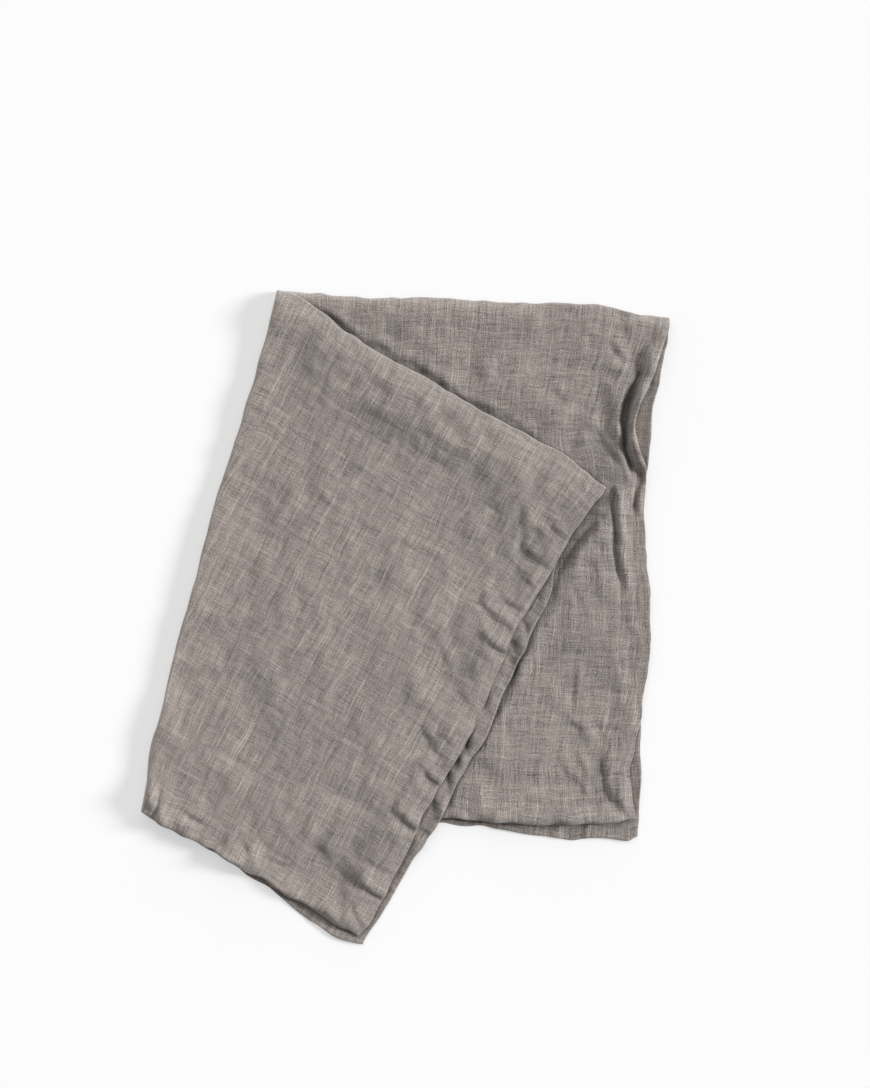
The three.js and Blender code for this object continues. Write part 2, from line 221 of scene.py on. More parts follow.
REAR_CREASES = [
    # The side hem stands up near the top, with a hollow beside it and a swell beyond.
    crease(0.8, 12, (142, 172), (134, 130), (138, 110)),
    crease(1.6, 6, (166, 182), (163, 164), (160, 153)),
    lip(
        9.3, 5.2, 7,
        (159, 180), (157.5, 170), (156, 160), (153.5, 150), (150, 140), (147.5, 131), (146.5, 122),
        (147.5, 111), (151.5, 101), (157, 91),
    ),
    lip(2.2, 2.6, 5, (152, 105), (155, 94), (155, 86), (152.5, 79), (150, 72), (149, 62)),
    lip(
        3.6, 1.6, 16,
        (148, 88), (143.5, 100), (139.2, 110), (138.4, 120), (138.6, 130), (141, 140), (146, 150),
        (151, 160), (154, 172),
    ),
    crease(
        -3.4, 2.8,
        (155, 168), (151.5, 158), (147.5, 148), (143, 138), (141.5, 130), (141.2, 120), (142.5, 109),
        (147, 99),
    ),
    crease(-1.2, 2, (151, 95), (152, 88), (150, 80), (148, 73)),
    # Wrinkles beside the side hem, from the top to the foot.
    pucker(1.5, 1.6, 5, (134.5, 177), (139, 171), (145, 166.5)),
    crease(-1.1, 4, (139, 196), (141, 184)),
    pucker(0.5, 2.4, 6, (131, 158), (129.5, 134), (127, 118)),
    pucker(1.9, 2, 7, (120.5, 124), (127.5, 119), (132.5, 110.5), (138, 102.5), (142, 95)),
    crease(-1.2, 4, (96, 146), (101, 140)),
    crease(-1.2, 3, (118, 182), (118.5, 179)),
    crease(-1.1, 4, (74, 130), (77, 120)),
    crease(-1.0, 9, (-12, 192), (-2, 174)),
    pucker(1.0, 3, 8, (44, 178), (48, 166)),
    pucker(0.9, 6, 14, (50, 180), (46, 144)),
    # A long crease runs down beside the side hem.
    lip(
        2.5, 2.8, 4,
        (136, 90), (136.6, 82), (137, 76), (137.2, 70), (139.2, 59), (139.7, 50), (140.1, 40),
        (141.3, 30), (144.5, 12),
    ),
    crease(-1.6, 1.6, (134, 82), (134.6, 68), (136.3, 58), (136.8, 44), (138.4, 28)),
    crease(1.4, 7, (126, 52), (128, 18)),
    pucker(0.9, 1.6, 6, (122, 68), (129, 66)),
    crease(-0.9, 4, (150, 8), (152, -6)),
    pucker(0.8, 1.4, 4, (111, 17), (115, 9)),
    pucker(1.5, 2.2, 8, (111, -27), (110, -64)),
    pucker(3.2, 3.8, 8, (101, -59), (107, -68), (116, -77)),
    pucker(1.1, 1.5, 5, (121, -69), (143, -71.5)),
    pucker(1.1, 1.5, 4, (126, -70), (128, -77)),
    crease(-0.9, 3, (118, -47), (150, -49)),
    pucker(-1.3, 3, 9, (141, -12), (144, -56)),
    pucker(-1.6, 2.5, 7, (150, -46), (150, -82)),
    crease(0.8, 6, (137, -80), (139, -92)),
    crease(1.6, 6, (139, -108), (138, -114)),
    # The side hem buckles by its foot.
    lip(
        1.7, 2.2, 5,
        (132, -81), (130.4, -87), (129.2, -93), (128.6, -99), (130.8, -106), (132, -112), (134.5, -117),
        (139, -120), (151, -135),
    ),
    crease(-1.8, 1.4, (127, -96), (127.8, -101), (129.2, -107), (130.2, -113), (131.6, -116.5)),
    crease(-0.9, 3, (116, -84), (118, -92)),
    pucker(1.3, 1.6, 5, (127, -100.5), (143, -102.5)),
    crease(1.6, 5, (139, -110), (137, -113)),
    pucker(1.2, 1.5, 5, (102.5, -94), (105.5, -105)),
    pucker(1.0, 1.5, 5, (111.5, -90), (114.5, -99)),
    pucker(1.8, 1.5, 5, (109, -104.5), (113, -109.5), (118, -114.5)),
    # The end hem, with its fuller places.
    pucker(-1.4, 4, 12, (36, -106), (66, -111), (106, -112)),
    pucker(1.1, 1.6, 6, (31, -112), (29, -127)),
    crease(1.1, 8, (44, -118), (46, -122)),
    crease(1.1, 8, (94, -120), (98, -122)),
    crease(1.1, 5, (115, -118), (116, -121)),
    lip(
        4.2, 2.6, 9,
        (14, -127), (21, -128), (45, -129.6), (69, -131.2), (104, -132), (133, -131), (150, -130),
    ),
    lip(2.8, 2.2, 7, (50, -130), (69, -131.2), (104, -132), (132, -131)),
    crease(1.0, 5, (108, -130), (117, -131)),
    # The cloth dips where it goes under the front panel.
    crease(1.4, 14, (-10, 196), (30, 172), (70, 150), (96, 134)),
    crease(-1.2, 9, (-52, 200), (-30, 188), (6, 168), (40, 148), (84, 122)),
    pucker(2.8, 2.2, 7, (-54, 198.5), (-38, 187.5)),
    pucker(1.2, 2.5, 8, (-36, 185), (-26, 179)),
    pucker(3.0, 2, 7, (-19, 178), (-6, 169.5)),
    pucker(0.8, 2.2, 7, (-6, 172.5), (2, 166)),
    pucker(3.4, 2.2, 8, (8, 163.5), (21, 155.5)),
    pucker(2.8, 2, 7, (17, 156.5), (30, 148)),
    pucker(1.1, 2, 6, (33, 145), (42, 139.5)),
    pucker(2.0, 2, 7, (45, 140.5), (56, 134)),
    pucker(2.4, 2, 7, (68, 129), (80, 119.5)),
    pucker(1.4, 4, 12, (128, 70), (122, 58), (115, 46), (107, 34), (100, 16)),
    pucker(4.6, 2.8, 9, (118.5, 54), (112, 47.5), (104, 35)),
    crease(-1.1, 5, (104, 34), (106, 24)),
    pucker(2.4, 2.2, 7, (107, 40), (99.5, 29), (97, 18)),
    pucker(1.2, 3.5, 12, (100, 22), (92, 4), (80, -18)),
    pucker(2.0, 3, 10, (80, -18), (72, -34), (64, -52), (56, -70)),
    pucker(2.2, 7, 15, (46, -66), (46, -86), (56, -101), (74, -110)),
    crease(-0.9, 3.5, (46, -84), (50, -97)),
    crease(-0.7, 3.5, (64, -99), (69, -107)),
    crease(-1.6, 2.2, (71, -33), (69, -43)),
    crease(-1.9, 2.2, (66, -45), (62.5, -52)),
]

LOWER_CREASES = [
    crease(1.1, 3, (166, 152), (161, 138), (159, 125), (158.5, 112), (158, 100)),
    crease(0.8, 4, (158, 60), (158, 20)),
    crease(1.4, 2.6, (154, -92), (153, -122)),
    crease(1.0, 5, (60, -136), (95, -141)),
    crease(1.3, 2.2, (99.5, -135), (98, -142)),
    crease(1.3, 2.2, (118, -135), (117, -142)),
    crease(1.2, 5, (122, -142), (146, -146)),
]

# On the front panel's under layer: fuller places along its edges, and dips beside the top layer.
UNDER_CREASES = [
    crease(1.2, 3, (91, 15), (88.5, 9)),
    crease(1.2, 3, (83, -3), (80.5, -8)),
    crease(2.0, 3, (76.5, -13), (75, -20)),
    crease(1.4, 3, (73, -24), (70.5, -30)),
    crease(1.2, 3, (60.5, -46), (56, -60)),
    crease(1.6, 3, (44.5, -78), (42, -85)),
    crease(2.2, 3, (38.5, -92), (36.5, -98)),
    crease(1.6, 3, (33, -102), (30.5, -109)),
    crease(1.8, 2.6, (24.5, -119), (22.5, -124)),
    crease(2.4, 8, (-112, -166), (-84, -182)),
    crease(1.6, 5, (-60, -200), (-34, -212)),
]
UNDER_RIM = dict(high=0.3, wide=2.4)
UNDER_TROUGH = dict(high=-0.3, wide=1.6)
UNDER_DIPS = [
    crease(-1.2, 2.5, (83.5, 15), (86.5, 11)),
    crease(-1.3, 2.5, (75.5, -2), (78.5, -8)),
    crease(-2.2, 2.6, (69, -16), (72, -20.5)),
    crease(-1.8, 2.6, (65.5, -23), (68.5, -28)),
    crease(-1.5, 2.2, (57, -46), (54, -47), (51, -58)),
    crease(-1.6, 1.8, (38.5, -78), (40, -84)),
    crease(-2.6, 2.8, (31, -93), (34, -97)),
    crease(-1.8, 2.2, (26.5, -101), (28.5, -108)),
    crease(-2.4, 2.0, (17.5, -119), (20, -124)),
    crease(-2.6, 2.0, (9, -138.5), (13, -140.5)),
    crease(-0.8, 2, (-8, -171), (-22, -195)),
    crease(-1.6, 2.4, (-100, -167), (-80, -180), (-52, -197), (-34, -206)),
]

FRONT_CREASES = [
    # The cloth falls away below the slanting fold, with smaller hollows there.
    pucker(4.4, 22, 32, (-74, 176), (-40, 142), (-8, 120), (22, 106), (52, 90), (76, 62)),
    pucker(2.0, 14, 28, (-66, 150), (-30, 119), (4, 101), (34, 84), (60, 52)),
    pucker(1.2, 2, 5, (-30, 158), (-37, 140)),
    pucker(0.9, 5, 9, (-46, 158), (-54, 140)),
    crease(-0.6, 5, (-28, 132), (-16, 129)),
    pucker(1.0, 2.5, 7, (-20, 120), (-13, 113), (-8, 104)),
    crease(-1.0, 5, (6, 138), (12, 118)),
    pucker(0.8, 4, 8, (22, 118), (34, 106)),
    pucker(0.7, 4, 8, (38, 108), (46, 97)),
    pucker(0.6, 5, 9, (48, 97), (60, 84)),
    crease(-0.8, 4, (44, 80), (50, 76)),
    crease(-1.0, 3.5, (56, 70), (59, 62)),
    pucker(-0.6, 6, 14, (84, 96), (116, 68)),
    crease(0.7, 2.5, (-52, 79), (-20, 60), (2, 49), (22, 41)),
    crease(-0.7, 4, (-95, 66), (-89, 59)),
    crease(-0.7, 5, (-36, 73), (-26, 54)),
    crease(-0.7, 5, (-57, 29), (-44, 24)),
    pucker(-1.1, 12, 26, (-100, 130), (-130, 20)),
    pucker(-1.8, 14, 32, (-152, -60), (-112, -96), (-72, -128)),
    crease(-0.5, 3, (-148, -37), (-108, -40)),
    pucker(-1.2, 6, 14, (6, -12), (18, -48)),
    pucker(-1.4, 6, 14, (-60, -112), (-34, -122), (-14, -134)),
    # The side hem: full, with a row of puckers from its top to its foot.
    crease(
        2.0, 10,
        (112, 74), (96, 46), (82, 22), (68, -4), (54, -30), (36, -62), (12, -106), (-12, -150),
        (-30, -184),
    ),
    pucker(1.5, 1.5, 6, (92.5, 61.5), (95.5, 57), (102, 54.5)),
    pucker(1.2, 3, 7, (81, 61), (88, 54)),
    pucker(1.6, 2.2, 7, (75, 72), (77, 48)),
    pucker(2.1, 1.7, 7, (74, 50), (78, 42), (86, 38), (95, 33)),
    crease(-0.9, 3.5, (69, 36), (72, 26)),
    pucker(0.9, 1.6, 6, (78, 24), (84, 19)),
    pucker(1.6, 1.4, 6, (63, 13.5), (67, 9.5), (78, 5)),
    pucker(1.6, 1.8, 7, (50.5, 18), (51.5, 9)),
    pucker(1.4, 1.4, 7, (53, 7.5), (60, -0.5), (70.5, -8.5)),
    pucker(1.0, 2, 6, (50, -8), (50.5, -15)),
    pucker(1.8, 1.6, 6, (53.5, -13.5), (58.5, -18), (66, -23)),
    pucker(0.6, 1.6, 6, (20, -14), (30, -36), (38, -52)),
    pucker(0.8, 1.8, 5, (37, -40), (39, -52)),
    pucker(0.9, 1.6, 5, (36, -50), (45, -57.5)),
    crease(-2.0, 8, (10, -62), (12, -76), (20, -84)),
    pucker(1.3, 5, 12, (4, -56), (10, -72), (20, -90)),
    pucker(2.2, 3, 7, (8, -70), (21, -87)),
    pucker(0.7, 1.5, 4, (25, -76), (31, -80.5)),
    crease(1.5, 6, (30, -72), (36, -74)),
    pucker(2.8, 1.5, 6, (12, -97), (16, -102.5), (23, -108.5)),
    pucker(0.8, 1.6, 5, (-2, -104), (-1, -114)),
    pucker(0.9, 1.6, 4, (-6, -116), (-6, -127)),
    pucker(3.2, 1.5, 5, (-4, -126.5), (1, -131.5), (9, -138)),
    pucker(1.3, 1.5, 5, (-20.5, -159), (-14, -163.5), (-8.5, -166.5)),
    pucker(2.2, 3.5, 10, (-58, -145), (-49, -154), (-38, -162)),
    pucker(2.8, 3, 8, (-47, -161), (-39, -167), (-33, -170)),
    crease(-1.2, 4, (-42, -156), (-37, -166)),
    pucker(2.4, 1.5, 5, (-29, -172.5), (-21, -177), (-14, -181)),
    pucker(1.0, 3, 6, (-40, -170), (-40, -186)),
    pucker(1.0, 1.1, 4, (-33.5, -186), (-32, -194.5), (-27.5, -201.5)),
    # The end hem: its raised edge, its puckers, and the pleat by the heel.
    lip(
        3.4, 2.8, 8,
        (-122, -151.5), (-98, -164.5), (-78, -177), (-60, -187.5), (-44, -197), (-27, -205),
    ),
    crease(5.4, 13, (-166, -118), (-152, -136), (-128, -149), (-104, -160)),
    pucker(1.4, 1.4, 5, (-142.5, -124), (-136, -128.5), (-128, -134)),
    pucker(1.2, 1.8, 5, (-105, -142), (-101, -153)),
    pucker(1.2, 1.6, 5, (-91, -144), (-77, -153.5)),
    pucker(1.1, 1.4, 5, (-95, -150), (-84, -156), (-74, -160)),
    crease(-2.2, 1.8, (-158.5, -112), (-160.5, -122), (-162.5, -132)),
    crease(-1.0, 1.8, (-167, -106), (-168, -120)),
    crease(1.4, 3, (-155, -116), (-157, -132)),
]

# How far each panel stands off the one below it. The share END_SWELL of that is left at its end hem,
# and all of it END_REACH inside. SOFTNESS rounds off where a trough reaches the layer below.
REAR_SWELL = 1.4
FRONT_SWELL = 1.5
END_SWELL = 0.3
END_REACH = 22
SOFTNESS = 0.4

# Small random undulations of the cloth: height, and spacing across and along the threads. Their
# lattice of random heights has LATTICE points each way, and goes on from the start after them.
LATTICE = 64
RIPPLES = [
    dict(high=0.4, across=30, along=42, seed=3),
    dict(high=0.3, across=10, along=15, seed=5),
    dict(high=0.16, across=4.2, along=6.5, seed=8),
]
# The same in plan, for the edges, which are a little uneven, and less so within reach of the left
# fold.
WANDER = dict(high=0.5, across=6, along=7)
WANDER_SEEDS = (20, 21)
WANDER_AT_FOLD = 0.4
WANDER_REACH = 30
# The same in plan, for the lines of the creases.
STRAY = dict(high=0.6, across=5, along=6)
STRAY_SEEDS = (31, 32)
# How unevenly deep the creases are along their lines, as a share of their depth.
UNEVEN = dict(high=0.3, across=7, along=7, seed=33)
# A lip rises over LIP_END at each end, and a pucker over a half wave cut short by a share at each.
LIP_END = 14
PUCKER_CUT = 0.14


# ---------------------------------------------------------------- shape of the folded sheet


def bow_at(line, at):
    """Cubic through the knots of an edge, at shares of its length."""
    x, y = line["at"], line["out"]
    slope = np.zeros(len(x))
    slope[1:-1] = (y[2:] - y[:-2]) / (x[2:] - x[:-2])
    k = np.clip(np.searchsorted(x, at) - 1, 0, len(x) - 2)
    span = x[k + 1] - x[k]
    t = np.clip((at - x[k]) / span, 0, 1)
    return (
        (2 * t**3 - 3 * t**2 + 1) * y[k]
        + (t**3 - 2 * t**2 + t) * span * slope[k]
        + (3 * t**2 - 2 * t**3) * y[k + 1]
        + (t**3 - t**2) * span * slope[k + 1]
    )


def length(vector):
    return float(np.hypot(*vector))


def panel_width(panel, down):
    top, end = length(panel["top"]["end"] - TIP), length(panel["side"]["end"] - HEEL)
    return top * (1 - down) + end * down


def mix(a, b, share):
    share = np.asarray(share)[..., None]
    return a * (1 - share) + b * share


def panel_point(panel, across, down):
    """A panel's points: straight between its corners, with each edge's bow fading inwards."""
    top = mix(TIP, panel["top"]["end"], across)
    end = mix(HEEL, panel["side"]["end"], across)
    place = mix(top, end, down)
    for line, share, near in (
        (LEFT_FOLD, down, 1 - across),
        (panel["side"], down, across),
        (panel["top"], across, 1 - down),
        (panel["end"], across, down),
    ):
        place = place + (bow_at(line, share) * np.clip(near, 0, 1) ** FADE)[..., None] * line["normal"]
    return place


def inside(line, place):
    """Distance of points inside a straight edge; below 0 outside it."""
    return -(place - line["start"]) @ line["normal"]


def bulge(distance, high, reach):
    """Rises from nothing at a fold to its height at `reach` from it, and dies away."""
    t = np.maximum(distance, 0) / reach
    return high * t * np.exp(1 - t)


def bell(distance, wide):
    return np.exp(-((distance / wide) ** 2))


def smooth(value, low, high):
    t = np.clip((value - low) / (high - low), 0, 1)
    return t * t * (3 - 2 * t)


def nearest_on_line(line, place):
    """Distance to a line of plan points, how far left of it, and how far along it from 0 to 1."""
    nearest = np.full(place.shape[:-1], np.inf)
    left = np.zeros(place.shape[:-1])
    share = np.zeros(place.shape[:-1])
    lengths = [math.dist(start, end) for start, end in zip(line, line[1:])]
    before = 0
    for start, end, own in zip(line, line[1:], lengths):
        start = np.array(start, float)
        along = np.array(end) - start
        offset = place - start
        t = np.clip(offset @ along / (along @ along), 0, 1)
        distance = np.linalg.norm(offset - t[..., None] * along, axis=-1)
        closer = distance < nearest
        nearest[closer] = distance[closer]
        to_left = np.array([-along[1], along[0]]) / length(along)
        left[closer] = (offset @ to_left)[closer]
        share[closer] = (before + t * own)[closer] / sum(lengths)
        before += own
    return nearest, left, share


def crease_heights(creases, place):
    """Sum of the heights of creases, puckers and lips at plan points."""
    total = np.zeros(place.shape[:-1])
    for item in creases:
        distance, left, share = nearest_on_line(item["line"], place)
        shape = bell(distance, item["wide"])
        if item["face"]:
            shape = np.where(left > 0, shape, np.maximum(1 - distance / item["face"], 0))
            whole = sum(math.dist(*ends) for ends in zip(item["line"], item["line"][1:]))
            shape *= smooth(np.minimum(share, 1 - share) * whole, 0, LIP_END)
        if item["steep"]:
            half_wave = PUCKER_CUT + (1 - 2 * PUCKER_CUT) * share
            shape *= np.tanh(left / item["steep"]) * np.sin(math.pi * half_wave)
        total += item["high"] * shape
    return total


def ripple(cloth, high, across, along, seed):
    """Smooth random height over cloth coordinates, from a lattice of random heights."""
    lattice = np.random.default_rng(seed).normal(0, 1, (LATTICE, LATTICE))
    total = 0
    cells = []
    for value, spacing in ((cloth[..., 0], across), (cloth[..., 1], along)):
        place = value / spacing + LATTICE / 2
        cell = np.floor(place).astype(int)
        t = place - cell
        weights = [
            (1 - t) ** 3 / 6,
            (3 * t**3 - 6 * t**2 + 4) / 6,
            (-3 * t**3 + 3 * t**2 + 3 * t + 1) / 6,
            t**3 / 6,
        ]
        cells.append((cell, weights))
    for i, weight_across in enumerate(cells[0][1]):
        for j, weight_along in enumerate(cells[1][1]):
            height = lattice[(cells[0][0] + i - 1) % LATTICE, (cells[1][0] + j - 1) % LATTICE]
            total = total + weight_across * weight_along * height
    # The weights about halve the heights of the lattice, and this undoes that.
    return high * total * 2


def relief(creases, swell, panel, place, cloth):
    """Sum of the creases and ripples, kept softly above 0."""
    strayed = place + np.stack([ripple(cloth, seed=seed, **STRAY) for seed in STRAY_SEEDS], axis=-1)
    from_end = smooth(inside(PANELS[panel]["end"], place), 0, END_REACH)
    height = swell * (END_SWELL + (1 - END_SWELL) * from_end)
    height += crease_heights(creases, strayed) * (1 + ripple(cloth, **UNEVEN))
    for wave in RIPPLES:
        height += ripple(cloth, **wave)
    return (height + np.hypot(height, SOFTNESS)) / 2


def edge_line(panel, name, points=40):
    """Plan points along a panel's side or end edge, bows included."""
    share = np.linspace(0, 1, points)
    full = np.ones(points)
    across, down = (full, share) if name == "side" else (share, full)
    return [tuple(point) for point in panel_point(PANELS[panel], across, down)]


def layer_heights(place, cloth):
    """Heights of the middle of each layer over the table, at plan points."""
    lower = CLOTH / 2 + np.maximum(crease_heights(LOWER_CREASES, place), 0)
    upper = (
        lower + PAIR + bulge(inside(TOP_FOLD, place), **TOP_BULGE)
        + relief(REAR_CREASES, REAR_SWELL, "rear_upper", place, cloth)
    )
    drop = smooth(-inside(PANELS["rear_lower"]["end"], place), DROP["start"], DROP["end"])
    puff = LEFT_PUFF["high"] * bell(np.maximum(inside(LEFT_FOLD, place), 0), LEFT_PUFF["reach"])
    under = (upper + STACK) * (1 - drop) + CLOTH / 2 * drop + puff
    rim = crease(UNDER_RIM["high"], UNDER_RIM["wide"], *edge_line("front_under", "side"))
    under += np.maximum(crease_heights([*UNDER_CREASES, rim], place), 0)
    top = (
        under + PAIR + bulge(inside(DIAGONAL_FOLD, place), **DIAGONAL_BULGE)
        + relief(FRONT_CREASES, FRONT_SWELL, "front_top", place, cloth)
    )
    # Along the top layer's side hem the under one dips, as far as there is room. The top one stays up.
    room = np.minimum(STACK - CLOTH, under - CLOTH / 2)
    trough = crease(UNDER_TROUGH["high"], UNDER_TROUGH["wide"], *edge_line("front_top", "side"))
    dips = crease_heights([*UNDER_DIPS, trough], place) * (1 + ripple(cloth, **UNEVEN))
    under = under + np.maximum(dips, -room)
    return dict(rear_lower=lower, rear_upper=upper, front_under=under, front_top=top)


def stations(before, around, after, crowd_before, crowd_after):
    """Turn from -1 to 1 round a fold, and share of the way from the fold to the hem."""
    def shares(cells, crowd):
        """From 1 at the hem down to the last cell before the fold."""
        return 1 - (np.arange(cells) / cells) ** crowd

    angle = (np.arange(around + 1) / around * 2 - 1) * math.pi / 2
    first, last = shares(before, crowd_before), shares(after, crowd_after)[::-1]
    turn = np.concatenate([-np.ones(before), np.sin(angle), np.ones(after)])
    share = np.concatenate([first, np.zeros(around + 1), last])
    return turn, share


def reach(turn, share, whole, outer, own):
    """Distance of stations from a fold's outermost line, on a panel `whole` millimetres long."""
    return np.where(share > 0, outer + (whole - outer) * share, outer - own * np.sqrt(1 - turn**2))


def cloth_place(name, across, down, width, height):
    """Place on the opened cloth, from the rear side hem round to the front one, and from the top fold."""
    if name.startswith("rear"):
        s = (1 - across) * width
    else:
        rear_width = panel_width(PANELS["rear_lower"], down)
        s = rear_width + across * (SHEET_WIDTH - rear_width)
    t = down * height * (1 if name in ("rear_upper", "front_under") else -1)
    return np.stack([s, t], axis=-1)


def sheet_middle():
    """Middle of the cloth, as a grid of points across and along the sheet, in millimetres.

    With it come maps of the same grid: the place on the opened cloth, the distances from the side and
    end hems' edges, those from the left and top folds, and each panel's weight.
    """
    turn_u, share_u = stations(
        CELLS["rear"], CELLS["left_turn"], CELLS["front"], CROWDING["rear"], CROWDING["front"]
    )
    turn_v, share_v = stations(
        CELLS["down"], CELLS["top_turn"], CELLS["down"], CROWDING["down"], CROWDING["down"]
    )
    turn_u, turn_v = np.meshgrid(turn_u, turn_v, indexing="ij")
    share_u, share_v = np.meshgrid(share_u, share_v, indexing="ij")
    front, inner = (1 + turn_u) / 2, (1 + turn_v) / 2
    weights = dict(
        rear_lower=(1 - front) * (1 - inner),
        rear_upper=(1 - front) * inner,
        front_under=front * inner,
        front_top=front * (1 - inner),
    )
    left_turn = LEFT_TURN_OUTER * (1 - inner) + LEFT_TURN_INNER * inner
    place = np.zeros(turn_u.shape + (2,))
    cloth = np.zeros_like(place)
    hems = np.zeros_like(place)
    folds = np.zeros_like(place)
    for name, weight in weights.items():
        panel = PANELS[name]
        height = (length(HEEL - TIP) + length(panel["side"]["end"] - panel["top"]["end"])) / 2
        down = reach(turn_v, share_v, height, TOP_TURN, TOP_TURN) / height
        width = panel_width(panel, down)
        across = reach(turn_u, share_u, width, LEFT_TURN_OUTER, left_turn) / width
        weight = weight[..., None]
        place += weight * panel_point(panel, across, down)
        hems += weight * np.stack([(1 - across) * width, (1 - down) * height], axis=-1)
        folds += weight * np.stack([across * width, down * height], axis=-1)
        cloth += weight * cloth_place(name, across, down, width, height)
    calm = WANDER_AT_FOLD + (1 - WANDER_AT_FOLD) * smooth(folds[..., 0], 0, WANDER_REACH)
    for axis, seed in enumerate(WANDER_SEEDS):
        place[..., axis] += calm * ripple(cloth, seed=seed, **WANDER)
    heights = layer_heights(place, cloth)
    z = sum(weights[name] * heights[name] for name in weights)
    left_arc = LEFT_ARC_OUTER * (1 - inner) + LEFT_ARC_INNER * inner
    woven = cloth + np.stack([(front - 1) * left_arc, inner * TOP_ARC], axis=-1)
    return np.dstack([place, z]), dict(cloth=woven, hems=hems, folds=folds), weights


def sheet_faces(fine, used):
    """Faces of a grid: a quad for each cell of a fine block, and one face for each other block.

    `fine` says which blocks are fine, and `used` which grid points the faces may have as corners.
    """
    across, along = used.shape
    number = np.arange(across * along).reshape(across, along)
    faces = []
    for i, j in np.ndindex(fine.shape):
        i0, j0 = i * BLOCK, j * BLOCK
        i1, j1 = min(i0 + BLOCK, across - 1), min(j0 + BLOCK, along - 1)
        if fine[i, j]:
            a, b = number[i0:i1, j0:j1], number[i0 + 1:i1 + 1, j0:j1]
            c, d = number[i0 + 1:i1 + 1, j0 + 1:j1 + 1], number[i0:i1, j0 + 1:j1 + 1]
            faces += np.stack([a, b, c, d], axis=-1).reshape(-1, 4).tolist()
        else:
            ring = [(k, j0) for k in range(i0, i1)] + [(i1, k) for k in range(j0, j1)]
            ring += [(k, j1) for k in range(i1, i0, -1)] + [(i0, k) for k in range(j1, j0, -1)]
            faces.append([int(number[place]) for place in ring if used[place]])
    return faces


def blocks(cells):
    """Whether any cell of each block of cells is true."""
    across, along = (-(-n // BLOCK) for n in cells.shape)
    padded = np.zeros((across * BLOCK, along * BLOCK), bool)
    padded[:cells.shape[0], :cells.shape[1]] = cells
    return padded.reshape(across, BLOCK, along, BLOCK).any(axis=(1, 3))


def corners_used(fine, shape):
    """Grid points that are corners of some face: those of fine blocks, block corners and edges."""
    used = np.zeros(shape, bool)
    used[::BLOCK, ::BLOCK] = True
    used[[0, -1], :] = True
    used[:, [0, -1]] = True
    for i, j in np.argwhere(fine):
        used[i * BLOCK:(i + 1) * BLOCK + 1, j * BLOCK:(j + 1) * BLOCK + 1] = True
    return used


def flat_blocks(heights):
    """Heights over a grid as they are where each block is one face between its corners."""
    carry, corners = [], []
    for count in heights.shape:
        at = np.unique([*range(0, count, BLOCK), count - 1])
        corners.append(at)
        carry.append(np.array([np.interp(np.arange(count), at, row) for row in np.eye(len(at))]).T)
    return carry[0] @ heights[np.ix_(*corners)] @ carry[1].T


def fine_parts(middle, maps, weights, right, wrong):
    """Where the faces are fine on the cloth's right side, and on its wrong side."""
    turned = np.minimum(weights["rear_upper"], 1 - weights["rear_upper"]) > 0
    covered = inside(DIAGONAL_FOLD, middle[..., :2]) > COVER
    covered &= inside(PANELS["front_top"]["side"], middle[..., :2]) > COVER
    upper = (weights["front_top"] > 0) | (weights["rear_upper"] > 0) & ~covered
    lower = (weights["rear_lower"] > 0) | (weights["front_under"] > 0)
    lower &= maps["hems"].min(axis=-1) < STRIP
    pokes = upper & (maps["folds"].min(axis=-1) > COVER)
    pokes &= flat_blocks(wrong[..., 2]) > right[..., 2] - CLEARANCE
    return upper | turned, lower | pokes


def cloth_sides(middle, hem):
    """Points of the cloth's right and wrong sides, given those of its middle and their hem distance."""
    normal = np.cross(np.gradient(middle, axis=0), np.gradient(middle, axis=1))
    normal /= np.linalg.norm(normal, axis=-1, keepdims=True)
    in_hem = 1 - smooth(hem, HEM_WIDTH - HEM_STEP, HEM_WIDTH + HEM_STEP)
    rim = RIM_THIN + (1 - RIM_THIN) * np.sqrt(1 - (1 - np.clip(hem / RIM, 0, 1)) ** 2)
    right = middle + normal * (rim * (CLOTH / 2 + HEM_RISE * in_hem))[..., None]
    wrong = middle - normal * (rim * (CLOTH / 2 + HEM_EXTRA * in_hem))[..., None]
    return right, wrong


def towel_faces(fine_sides, shape):
    """Faces of the right side, the wrong side and the edge between. The wrong side is numbered on."""
    count = shape[0] * shape[1]
    faces = []
    for side, shows in enumerate(fine_sides):
        fine = blocks(shows[:-1, :-1] | shows[1:, 1:])
        used = corners_used(fine, shape)
        for face in sheet_faces(fine, used):
            faces.append([corner + side * count for corner in (face[::-1] if side else face)])
    first = np.arange(count).reshape(shape)
    border = np.concatenate([first[:-1, 0], first[-1, :-1], first[:0:-1, -1], first[0, :0:-1]])
    for here, there in zip(border, np.roll(border, -1)):
        faces.append([int(there), int(here), int(here) + count, int(there) + count])
    return faces


